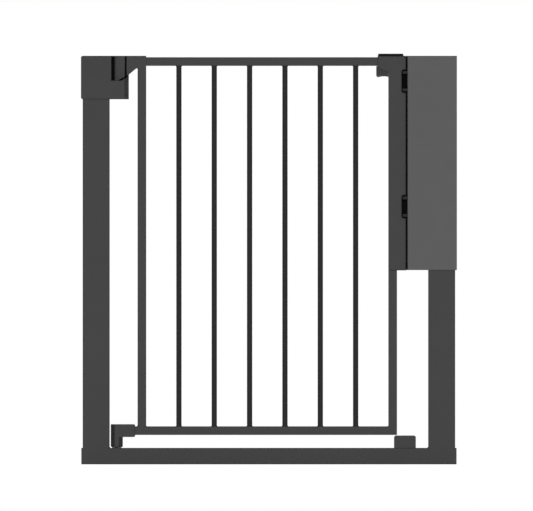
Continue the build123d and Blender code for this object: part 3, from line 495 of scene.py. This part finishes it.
class Workbench:
    """Blender's modelling operators, with the selecting that they need."""

    @staticmethod
    def clear() -> None:
        """Leaves edit mode and deselects everything."""
        if bpy.context.mode != "OBJECT":
            bpy.ops.object.mode_set(mode="OBJECT")
        bpy.ops.object.select_all(action="DESELECT")

    @staticmethod
    def only(*things: bpy.types.Object) -> None:
        """Selects only these objects and makes the first one active.

        Args:
            things: the objects, the active one first.
        """
        Workbench.clear()
        for thing in things:
            thing.select_set(True)
        bpy.context.view_layer.objects.active = things[0]

    @staticmethod
    def edit(mode: str) -> None:
        """Enters edit mode with nothing selected.

        Args:
            mode: VERT, EDGE or FACE.
        """
        bpy.ops.object.mode_set(mode="EDIT")
        bpy.ops.mesh.select_mode(type=mode)
        bpy.ops.mesh.select_all(action="DESELECT")

    @staticmethod
    def pick_faces(thing: bpy.types.Object, test: Test) -> None:
        """Selects the faces whose centre and normal pass the test.

        Args:
            thing: the object in edit mode.
            test: called with a face's centre and normal, in the object's own space.
        """
        mesh = bmesh.from_edit_mesh(thing.data)
        for face in mesh.faces:
            if test(face.calc_center_median(), face.normal):
                face.select_set(True)
        mesh.select_flush_mode()
        bmesh.update_edit_mesh(thing.data)

    @staticmethod
    def pick_edges(thing: bpy.types.Object, test: Test) -> None:
        """Selects the edges whose middle and direction pass the test.

        Args:
            thing: the object in edit mode.
            test: called with an edge's middle and direction, in the object's own space.
        """
        mesh = bmesh.from_edit_mesh(thing.data)
        for edge in mesh.edges:
            start, end = (vert.co for vert in edge.verts)
            if test((start + end) / 2, (end - start).normalized()):
                edge.select_set(True)
        mesh.select_flush_mode()
        bmesh.update_edit_mesh(thing.data)

    @staticmethod
    def settle(thing: bpy.types.Object) -> None:
        """Leaves edit mode and moves an object's place, turn and scale into its mesh.

        Args:
            thing: the object.
        """
        Workbench.only(thing)
        bpy.ops.object.transform_apply(location=True, rotation=True, scale=True)

    @staticmethod
    def copies(thing: bpy.types.Object, shifts: Iterable[Point]) -> list[bpy.types.Object]:
        """Copies an object to other places, each copy with its own mesh.

        Args:
            thing: the object that is copied.
            shifts: how far each copy is moved.

        Returns:
            The copies.
        """
        made = []
        for shift in shifts:
            Workbench.only(thing)
            bpy.ops.object.duplicate(linked=False)
            copy = bpy.context.object
            copy.location = Vector(copy.location) + Vector(shift)
            Workbench.settle(copy)
            made.append(copy)
        return made

    @staticmethod
    def drop(thing: bpy.types.Object) -> None:
        """Deletes an object that was only a pattern or a cutter.

        Args:
            thing: the object.
        """
        Workbench.only(thing)
        bpy.ops.object.delete()

    @staticmethod
    def joined(things: Sequence[bpy.types.Object]) -> bpy.types.Object:
        """Joins objects into the first of them.

        Args:
            things: the objects.

        Returns:
            The joined object.
        """
        Workbench.only(*things)
        if len(things) > 1:
            bpy.ops.object.join()
        return bpy.context.object


class Dresser:
    """Holds the materials and gives each piece its finish and body."""

    def __init__(self, groups: SurfaceGroups) -> None:
        """Builds every finish's material.

        Args:
            groups: the shared node groups.
        """
        self.materials = {slot: finish.material(groups) for slot, finish in FINISHES.items()}

    def dress_nodes(self) -> None:
        """Gives each CAD node the material of its record's slot."""
        slots = {row["node"]: row["material_slot"] for row in frame["record"]["subparts"]}
        for name, node in frame["nodes"].items():
            slot = slots[name]
            if not node.material_slots:
                node.data.materials.append(None)
            for place in node.material_slots:
                place.material = self.materials[slot]
            LOG.info("node %s: %s", name, slot)

    def finish(self, thing: bpy.types.Object, name: str, body: str, slot: str,
               angle: float = 32.0) -> bpy.types.Object:
        """Settles a new piece: name, normals, smoothing, the material of its slot, and body.

        Args:
            thing: the piece.
            name: its name.
            body: the CAD body it moves with.
            slot: the record's material slot it takes its finish from.
            angle: edges sharper than this many degrees stay sharp.

        Returns:
            The piece.
        """
        Workbench.settle(thing)
        Workbench.edit("FACE")
        bpy.ops.mesh.select_all(action="SELECT")
        bpy.ops.mesh.remove_doubles(threshold=TOUCH)
        bpy.ops.mesh.normals_make_consistent(inside=False)
        Workbench.only(thing)
        bpy.ops.object.shade_smooth_by_angle(angle=math.radians(angle))
        thing.name = thing.data.name = name
        thing.data.materials.clear()
        thing.data.materials.append(self.materials[slot])
        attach(thing, body)
        LOG.info("piece %s on %s", name, body)
        return thing


@dataclass
class WeldedFeet:
    """The coped feet where uprights are welded to the tube they stand on."""

    name: str
    body: str
    centres: tuple[float, ...]
    width: float
    depth: float
    corner: float
    foot: float
    bead: float
    bead_sides: tuple[tuple[int, ...], ...]
    unevenness: float = 0.12
    end_inset: float = 0.4
    end_rise: float = 0.35
    least_cuts: int = 5
    first_seed: int = 11

    def collar(self, x: float) -> bpy.types.Object:
        """One upright's foot, let into the tube's rounded edges so that the faces run through.

        Args:
            x: the upright's middle.

        Returns:
            The foot.
        """
        Workbench.clear()
        bpy.ops.mesh.primitive_cube_add(size=1.0, location=(x, 0.0, self.foot - self.corner / 2))
        thing = bpy.context.object
        thing.scale = (self.width, self.depth, self.corner)
        Workbench.settle(thing)
        Workbench.edit("EDGE")
        Workbench.pick_edges(thing, lambda middle, along: abs(along.z) > ALONG)
        bpy.ops.mesh.bevel(offset=self.corner, segments=6, affect="EDGES")
        Workbench.clear()
        return thing

    def bead_line(self, x: float, seed: int) -> bpy.types.Object:
        """One weld bead across the tube, in the corner at an upright's side.

        Args:
            x: the upright's side.
            seed: where the bead's unevenness starts.

        Returns:
            The bead.
        """
        Workbench.clear()
        length = self.depth - 2 * self.corner
        bpy.ops.mesh.primitive_cylinder_add(vertices=14, radius=self.bead, depth=length,
                                            location=(x, 0.0, self.foot), rotation=(math.pi / 2, 0.0, 0.0))
        thing = bpy.context.object
        Workbench.settle(thing)
        Workbench.edit("EDGE")
        Workbench.pick_edges(thing, lambda middle, along: abs(along.y) > ALONG)
        bpy.ops.mesh.subdivide(number_cuts=max(self.least_cuts, int(length / self.bead)), smoothness=0.0)
        bpy.ops.mesh.select_all(action="SELECT")
        bpy.ops.transform.vertex_random(offset=self.bead * self.unevenness, seed=seed)
        bpy.ops.mesh.select_mode(type="FACE")
        bpy.ops.mesh.select_all(action="DESELECT")
        Workbench.pick_faces(thing, lambda middle, normal: abs(normal.y) > ALONG)
        bpy.ops.mesh.inset(thickness=self.bead * self.end_inset, depth=self.bead * self.end_rise)
        Workbench.clear()
        return thing

    def build(self, dresser: Dresser) -> None:
        """Builds the feet and their beads as one piece.

        Args:
            dresser: gives the piece its finish and body.
        """
        made = []
        for index, (x, sides) in enumerate(zip(self.centres, self.bead_sides)):
            made.append(self.collar(x))
            for side in sides:
                seed = self.first_seed + 2 * index + side
                made.append(self.bead_line(x + side * self.width / 2, seed))
        dresser.finish(Workbench.joined(made), self.name, self.body, "coated_tube")


@dataclass
class BarWelds:
    """The weld rings round the ends of the door's bars."""

    name: str
    centres: tuple[float, ...]
    height: float
    rail_above: bool
    bar_radius: float = 4.9 * MM
    bead: float = 1.15 * MM
    unevenness: float = 0.14
    smoothing: float = 0.35
    seed: int = 7

    def ring(self) -> bpy.types.Object:
        """One uneven ring at the first bar, cut off at the rail's face.

        Returns:
            The ring.
        """
        Workbench.clear()
        bpy.ops.mesh.primitive_torus_add(location=(self.centres[0], 0.0, self.height),
                                         major_segments=36, minor_segments=10,
                                         major_radius=self.bar_radius, minor_radius=self.bead)
        thing = bpy.context.object
        Workbench.settle(thing)
        Workbench.edit("VERT")
        bpy.ops.mesh.select_all(action="SELECT")
        bpy.ops.transform.vertex_random(offset=self.bead * self.unevenness, seed=self.seed)
        bpy.ops.mesh.vertices_smooth(factor=self.smoothing, repeat=1)
        bpy.ops.mesh.select_all(action="SELECT")
        bpy.ops.mesh.bisect(plane_co=(0.0, 0.0, self.height), plane_no=(0.0, 0.0, 1.0), use_fill=True,
                            clear_outer=self.rail_above, clear_inner=not self.rail_above)
        Workbench.clear()
        return thing

    def build(self, dresser: Dresser) -> None:
        """Builds a ring at each bar as one piece.

        Args:
            dresser: gives the piece its finish and body.
        """
        first = self.ring()
        rest = Workbench.copies(first, [(x - self.centres[0], 0.0, 0.0) for x in self.centres[1:]])
        dresser.finish(Workbench.joined([first, *rest]), self.name, "door", "coated_bar", angle=50.0)


@dataclass
class CrossScrews:
    """Round-headed screws with a cross recess, which stand for a CAD node of plain ones."""

    name: str
    node: str
    body: str
    seats: tuple[Point, ...]
    head_height: float
    shank: float
    upright: bool = False
    head_radius: float = 3.75 * MM
    shank_radius: float = 2.0 * MM
    recess_length: float = 4.3 * MM
    recess_width: float = 0.95 * MM
    recess_depth: float = 1.3 * MM
    recess_taper: float = 0.55
    dome: float = 0.5

    def cutter(self, turn: float) -> bpy.types.Object:
        """One blade of the recess, narrower at its foot.

        Args:
            turn: the blade's angle about the screw's axis.

        Returns:
            The blade.
        """
        Workbench.clear()
        bpy.ops.mesh.primitive_cube_add(size=1.0, location=(0.0, 0.0, self.head_height))
        blade = bpy.context.object
        blade.scale = (self.recess_length, self.recess_width, 2 * self.recess_depth)
        blade.rotation_euler = (0.0, 0.0, turn)
        Workbench.settle(blade)
        Workbench.edit("FACE")
        Workbench.pick_faces(blade, lambda middle, normal: normal.z < -ALONG)
        bpy.ops.transform.resize(value=(self.recess_taper, self.recess_taper, 1.0),
                                 center_override=(0.0, 0.0, 0.0))
        Workbench.clear()
        return blade

    def screw(self) -> bpy.types.Object:
        """One screw at the origin, its head upwards.

        Returns:
            The screw.
        """
        Workbench.clear()
        bpy.ops.mesh.primitive_cylinder_add(vertices=40, radius=self.head_radius, depth=self.head_height,
                                            location=(0.0, 0.0, self.head_height / 2))
        thing = bpy.context.object
        Workbench.settle(thing)
        Workbench.edit("EDGE")
        top = self.head_height
        Workbench.pick_edges(thing, lambda middle, along: middle.z > top - TOUCH)
        bpy.ops.mesh.bevel(offset=self.dome * self.head_height, segments=5, affect="EDGES")
        bpy.ops.mesh.select_mode(type="FACE")
        bpy.ops.mesh.select_all(action="DESELECT")
        Workbench.pick_faces(thing, lambda middle, normal: normal.z < -ALONG)
        bpy.ops.mesh.inset(thickness=self.head_radius - self.shank_radius)
        bpy.ops.mesh.extrude_region_move(TRANSFORM_OT_translate={"value": (0.0, 0.0, -self.shank)})
        Workbench.clear()
        for turn in (math.pi / 4, -math.pi / 4):
            blade = self.cutter(turn)
            Workbench.only(thing)
            cut = thing.modifiers.new("cross_recess", "BOOLEAN")
            cut.operation = "DIFFERENCE"
            cut.solver = "EXACT"
            cut.object = blade
            bpy.ops.object.modifier_apply(modifier=cut.name)
            Workbench.drop(blade)
        if not self.upright:
            thing.rotation_euler = (-math.pi / 2, 0.0, 0.0)
            Workbench.settle(thing)
        return thing

    def build(self, dresser: Dresser) -> None:
        """Builds a screw at each seat as one piece that stands for the CAD node.

        Args:
            dresser: gives the piece its finish and body.
        """
        pattern = self.screw()
        made = Workbench.copies(pattern, self.seats)
        Workbench.drop(pattern)
        piece = dresser.finish(Workbench.joined(made), self.name, self.body, "zinc_steel", angle=30.0)
        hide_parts(self.node)


@dataclass
class SpindleThreads:
    """The turned threads inside the four spindle inserts."""

    mouths: tuple[Point, ...]
    bore: float = 4.3 * MM
    ridge: float = 0.5 * MM
    pitch: float = 1.5 * MM
    turns: int = 11
    steps: int = 28
    inset: float = 1.5 * MM

    def thread(self) -> bpy.types.Object:
        """One thread from the origin to the right.

        Returns:
            The thread.
        """
        Workbench.clear()
        bpy.ops.mesh.primitive_circle_add(vertices=3, radius=self.ridge, fill_type="NOTHING",
                                          location=(-self.bore, 0.0, 0.0), rotation=(math.pi / 2, 0.0, 0.0))
        thing = bpy.context.object
        Workbench.settle(thing)
        turn = thing.modifiers.new("thread", "SCREW")
        turn.axis = "Z"
        turn.angle = 2 * math.pi
        turn.screw_offset = self.pitch
        turn.iterations = self.turns
        turn.steps = turn.render_steps = self.steps
        turn.use_merge_vertices = True
        turn.merge_threshold = TOUCH
        bpy.ops.object.modifier_apply(modifier=turn.name)
        Workbench.edit("EDGE")
        bpy.ops.mesh.select_non_manifold()
        bpy.ops.mesh.fill()
        Workbench.clear()
        thing.rotation_euler = (0.0, math.pi / 2, 0.0)
        Workbench.settle(thing)
        return thing

    def build(self, dresser: Dresser) -> None:
        """Builds a thread in each insert as one piece.

        Args:
            dresser: gives the piece its finish and body.
        """
        pattern = self.thread()
        length = self.pitch * self.turns
        shifts = [(x + self.inset if x < 0 else x - self.inset - length, y, z) for x, y, z in self.mouths]
        made = Workbench.copies(pattern, shifts)
        Workbench.drop(pattern)
        dresser.finish(Workbench.joined(made), "spindle_threads", "frame", "zinc_steel", angle=40.0)


@dataclass
class RecessShadePad:
    """A thin black pad on the rear wall of the hinge recess, behind the knuckle: painted shade, a dark sheet
    that stands for the shadow in the recess.
    """

    low: Point
    high: Point
    slope_start: Point
    slope_end: Point
    corner: float = 1.0 * MM
    edge: float = 0.15 * MM

    def build(self, dresser: Dresser) -> None:
        """Builds the pad with its foot along the recess floor, rounded corners and a soft rim.

        Args:
            dresser: gives the piece its finish and body.
        """
        Workbench.clear()
        low, high = Vector(self.low), Vector(self.high)
        bpy.ops.mesh.primitive_cube_add(size=1.0, location=(low + high) / 2)
        thing = bpy.context.object
        thing.scale = high - low
        Workbench.settle(thing)
        slope = Vector(self.slope_end) - Vector(self.slope_start)
        Workbench.edit("EDGE")
        bpy.ops.mesh.select_all(action="SELECT")
        bpy.ops.mesh.bisect(plane_co=self.slope_start, plane_no=(slope.z, 0.0, -slope.x), use_fill=True,
                            clear_outer=True)
        bpy.ops.mesh.select_all(action="DESELECT")
        Workbench.pick_edges(thing, lambda middle, along: abs(along.y) > ALONG)
        bpy.ops.mesh.bevel(offset=self.corner, segments=5, affect="EDGES")
        bpy.ops.mesh.select_all(action="DESELECT")
        Workbench.pick_edges(thing, lambda middle, along: abs(along.y) < ACROSS and middle.y < low.y + TOUCH)
        bpy.ops.mesh.bevel(offset=self.edge, segments=2, affect="EDGES")
        # painted shade: the near-black rubber finish makes the recess wall read as shadow
        dresser.finish(thing, "recess_painted_shade_pad", "frame", "bumper_rubber")


@dataclass
class Studio:
    """The floor, the lights, the white background and the camera."""

    image_width: int = 533
    metres_per_pixel: float = 1.853 * MM
    view_centre: tuple[float, float] = (-4.5 * MM, 387.0 * MM)
    ambient: float = 0.05
    key: float = 2.3
    rear: float = 1.3
    floor_lift: float = 0.3
    floor_level: float = 0.9
    floor_size: float = 8.0
    floor_drop: float = 0.3 * MM
    camera_distance: float = 3.0

    @staticmethod
    def background_seen(sheet: NodeSheet) -> bpy.types.NodeSocket:
        """A value that is 1 for what the camera and reflections see, and 0 for light on the gate.

        Args:
            sheet: the node tree that gets the nodes.

        Returns:
            The socket with the value.
        """
        ray = sheet.add("ShaderNodeLightPath").outputs
        seen = sheet.math("ADD", ray["Is Camera Ray"], ray["Is Glossy Ray"])
        return sheet.math("MINIMUM", sheet.math("ADD", seen, ray["Is Transmission Ray"]), 1.0)

    def floor(self) -> None:
        """A wide pale floor under the gate."""
        Workbench.clear()
        bpy.ops.mesh.primitive_plane_add(size=self.floor_size, location=(0.0, 0.0, -self.floor_drop))
        thing = bpy.context.object
        thing.name = thing.data.name = "studio_floor"
        made = bpy.data.materials.new("studio_floor")
        made.use_nodes = True
        shader = made.node_tree.nodes["Principled BSDF"]
        sheet = NodeSheet(made.node_tree)
        place = sheet.add("ShaderNodeTexCoord").outputs["Object"]
        patches = sheet.noise(place, scale=3.0, detail=2.0)
        level = sheet.ramp(patches, low=0.2, high=0.8, start=0.97, end=1.0)
        sheet.feed(shader.inputs["Base Color"], sheet.scaled(grey(self.floor_level), level))
        shader.inputs["Roughness"].default_value = 0.8
        shader.inputs["Specular IOR Level"].default_value = 0.1
        shader.inputs["Emission Color"].default_value = (1.0, 1.0, 1.0, 1.0)
        lift = sheet.math("MULTIPLY", self.background_seen(sheet), self.floor_lift)
        sheet.feed(shader.inputs["Emission Strength"], lift)
        thing.data.materials.append(made)

    def world(self) -> None:
        """A dim surround for the light and white for what the camera and reflections see."""
        world = bpy.data.worlds.new("studio")
        bpy.context.scene.world = world
        world.use_nodes = True
        sheet = NodeSheet(world.node_tree)
        out = world.node_tree.nodes["World Output"]
        dim = world.node_tree.nodes["Background"]
        dim.inputs["Color"].default_value = (1.0, 1.0, 1.0, 1.0)
        dim.inputs["Strength"].default_value = self.ambient
        white = sheet.add("ShaderNodeBackground")
        white.inputs["Color"].default_value = (1.0, 1.0, 1.0, 1.0)
        white.inputs["Strength"].default_value = 1.0
        mix = sheet.add("ShaderNodeMixShader")
        sheet.feed(mix.inputs[0], self.background_seen(sheet))
        sheet.feed(mix.inputs[1], dim.outputs[0])
        sheet.feed(mix.inputs[2], white.outputs[0])
        sheet.feed(out.inputs["Surface"], mix.outputs[0])

    @staticmethod
    def lamp(name: str, azimuth: float, elevation: float, strength: float, spread: float) -> None:
        """A soft far lamp.

        Args:
            name: the lamp's name.
            azimuth: degrees round the gate, 0 in front and positive to the right.
            elevation: degrees above the floor.
            strength: the lamp's strength.
            spread: how wide the lamp looks from the gate, in degrees.
        """
        data = bpy.data.lights.new(name, "SUN")
        data.energy = strength
        data.angle = math.radians(spread)
        lamp = bpy.data.objects.new(name, data)
        bpy.context.scene.collection.objects.link(lamp)
        turn, rise = math.radians(azimuth), math.radians(elevation)
        level = math.cos(rise)
        towards = Vector((math.sin(turn) * level, -math.cos(turn) * level, math.sin(rise)))
        lamp.rotation_euler = towards.to_track_quat("Z", "Y").to_euler()

    def lights(self) -> None:
        """A broad key in front, and lower lamps behind."""
        self.lamp("front_key", azimuth=0.0, elevation=7.0, strength=self.key, spread=12.0)
        self.lamp("rear_left", azimuth=-168.0, elevation=28.0, strength=self.rear, spread=30.0)
        self.lamp("rear_right", azimuth=168.0, elevation=28.0, strength=self.rear, spread=30.0)

    def camera(self) -> None:
        """A level camera straight in front, with no perspective."""
        data = bpy.data.cameras.new("front_camera")
        data.type = "ORTHO"
        data.ortho_scale = self.image_width * self.metres_per_pixel
        camera = bpy.data.objects.new("front_camera", data)
        bpy.context.scene.collection.objects.link(camera)
        camera.location = (self.view_centre[0], -self.camera_distance, self.view_centre[1])
        camera.rotation_euler = (math.pi / 2, 0.0, 0.0)
        bpy.context.scene.camera = camera

    def build(self) -> None:
        """Sets up the whole studio."""
        self.floor()
        self.world()
        self.lights()
        self.camera()
        bpy.context.scene.view_settings.view_transform = "Standard"
        LOG.info("studio ready")


def node_middle(name: str) -> Vector:
    """Finds the middle of a CAD node's box.

    Args:
        name: the node's name.

    Returns:
        The box's middle.
    """
    low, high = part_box(name)
    return (low + high) / 2


def solid_boxes(name: str) -> list[tuple[Vector, Vector]]:
    """Finds the loose solids of a CAD node.

    Args:
        name: the node's name.

    Returns:
        The lowest and highest corner of each solid, from the lowest solid up.
    """
    mesh = bmesh.new()
    mesh.from_mesh(frame["nodes"][name].data)
    bmesh.ops.remove_doubles(mesh, verts=mesh.verts, dist=2 * TOUCH)
    left = set(mesh.verts)
    boxes = []
    while left:
        heap = [left.pop()]
        shell = []
        while heap:
            vert = heap.pop()
            shell.append(vert.co.copy())
            for edge in vert.link_edges:
                other = edge.other_vert(vert)
                if other in left:
                    left.remove(other)
                    heap.append(other)
        boxes.append((Vector(map(min, *shell)), Vector(map(max, *shell))))
    mesh.free()
    return sorted(boxes, key=lambda box: (round(box[0].z, 4), box[0].x))


def screw_set(node: str, body: str, head_height: float, upright: bool = False) -> CrossScrews:
    """Sets cross-headed screws where a CAD node has its plain ones.

    Args:
        node: the CAD node's name.
        body: the body that carries the screws.
        head_height: how high a head is.
        upright: whether the heads look up and not to the rear.

    Returns:
        The set, ready to build.
    """
    seats = []
    for low, high in solid_boxes(node):
        middle = (low + high) / 2
        if upright:
            seats.append((middle.x, middle.y, high.z - head_height))
            shank = high.z - head_height - low.z
        else:
            seats.append((middle.x, high.y - head_height, middle.z))
            shank = high.y - head_height - low.y
    return CrossScrews(node + "_detail", node, body, tuple(seats), head_height, shank, upright)


def rear_screws() -> list[CrossScrews]:
    """The screws that show: on the covers, the handle, the brackets and the stop block.

    Returns:
        The sets, ready to build.
    """
    sunk, proud = 1.9 * MM, 2.2 * MM
    return [
        screw_set("hinge_housing_screws", "frame", sunk),
        screw_set("lock_box_screws", "frame", sunk),
        screw_set("handle_screws", "door", sunk),
        screw_set("upper_bracket_screw", "door", proud),
        screw_set("lower_bracket_screw", "door", proud),
        screw_set("stop_block_screws", "frame", proud, upright=True),
    ]


def spindle_mouths() -> tuple[Point, ...]:
    """Finds the outer ends of the spindle inserts.

    Returns:
        The middle of each insert's outer end.
    """
    mouths = []
    for low, high in solid_boxes("spindle_inserts"):
        middle = (low + high) / 2
        mouths.append((low.x if middle.x < 0 else high.x, middle.y, middle.z))
    return tuple(mouths)


def main() -> None:
    """Builds the finishes, the extra pieces and the studio."""
    dresser = Dresser(SurfaceGroups())
    dresser.dress_nodes()
    posts = tuple(node_middle(name).x for name in ("left_post", "right_post"))
    stiles = tuple(node_middle(name).x for name in ("door_left_stile", "door_right_stile"))
    rail_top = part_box("door_bottom_rail")[1].z
    rail_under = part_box("door_top_rail")[0].z
    bars = tuple(node_middle(f"door_bar_{number}").x for number in range(1, 7))
    parts = [
        WeldedFeet("post_feet", "frame", posts, width=50.0 * MM, depth=30.0 * MM, corner=3.0 * MM,
                   foot=30.5 * MM, bead=1.6 * MM, bead_sides=((1,), (-1,))),
        WeldedFeet("stile_feet", "door", stiles, width=16.0 * MM, depth=16.0 * MM, corner=2.2 * MM,
                   foot=rail_top, bead=1.1 * MM, bead_sides=((-1, 1), (-1,))),
        BarWelds("bar_welds_lower", bars, rail_top, rail_above=False),
        BarWelds("bar_welds_upper", bars, rail_under, rail_above=True),
        *rear_screws(),
        SpindleThreads(spindle_mouths()),
        # painted shade: a black pad on the hinge recess's rear wall stands for its shadow
        RecessShadePad(low=(-292.1 * MM, 10.2 * MM, 711.0 * MM), high=(-261.2 * MM, 10.6 * MM, 756.4 * MM),
                  slope_start=(-272.9 * MM, 10.4 * MM, 711.0 * MM),
                  slope_end=(-258.9 * MM, 10.4 * MM, 720.4 * MM)),
    ]
    for part in parts:
        part.build(dresser)
    Studio().build()


if __name__ == "__main__":
    main()
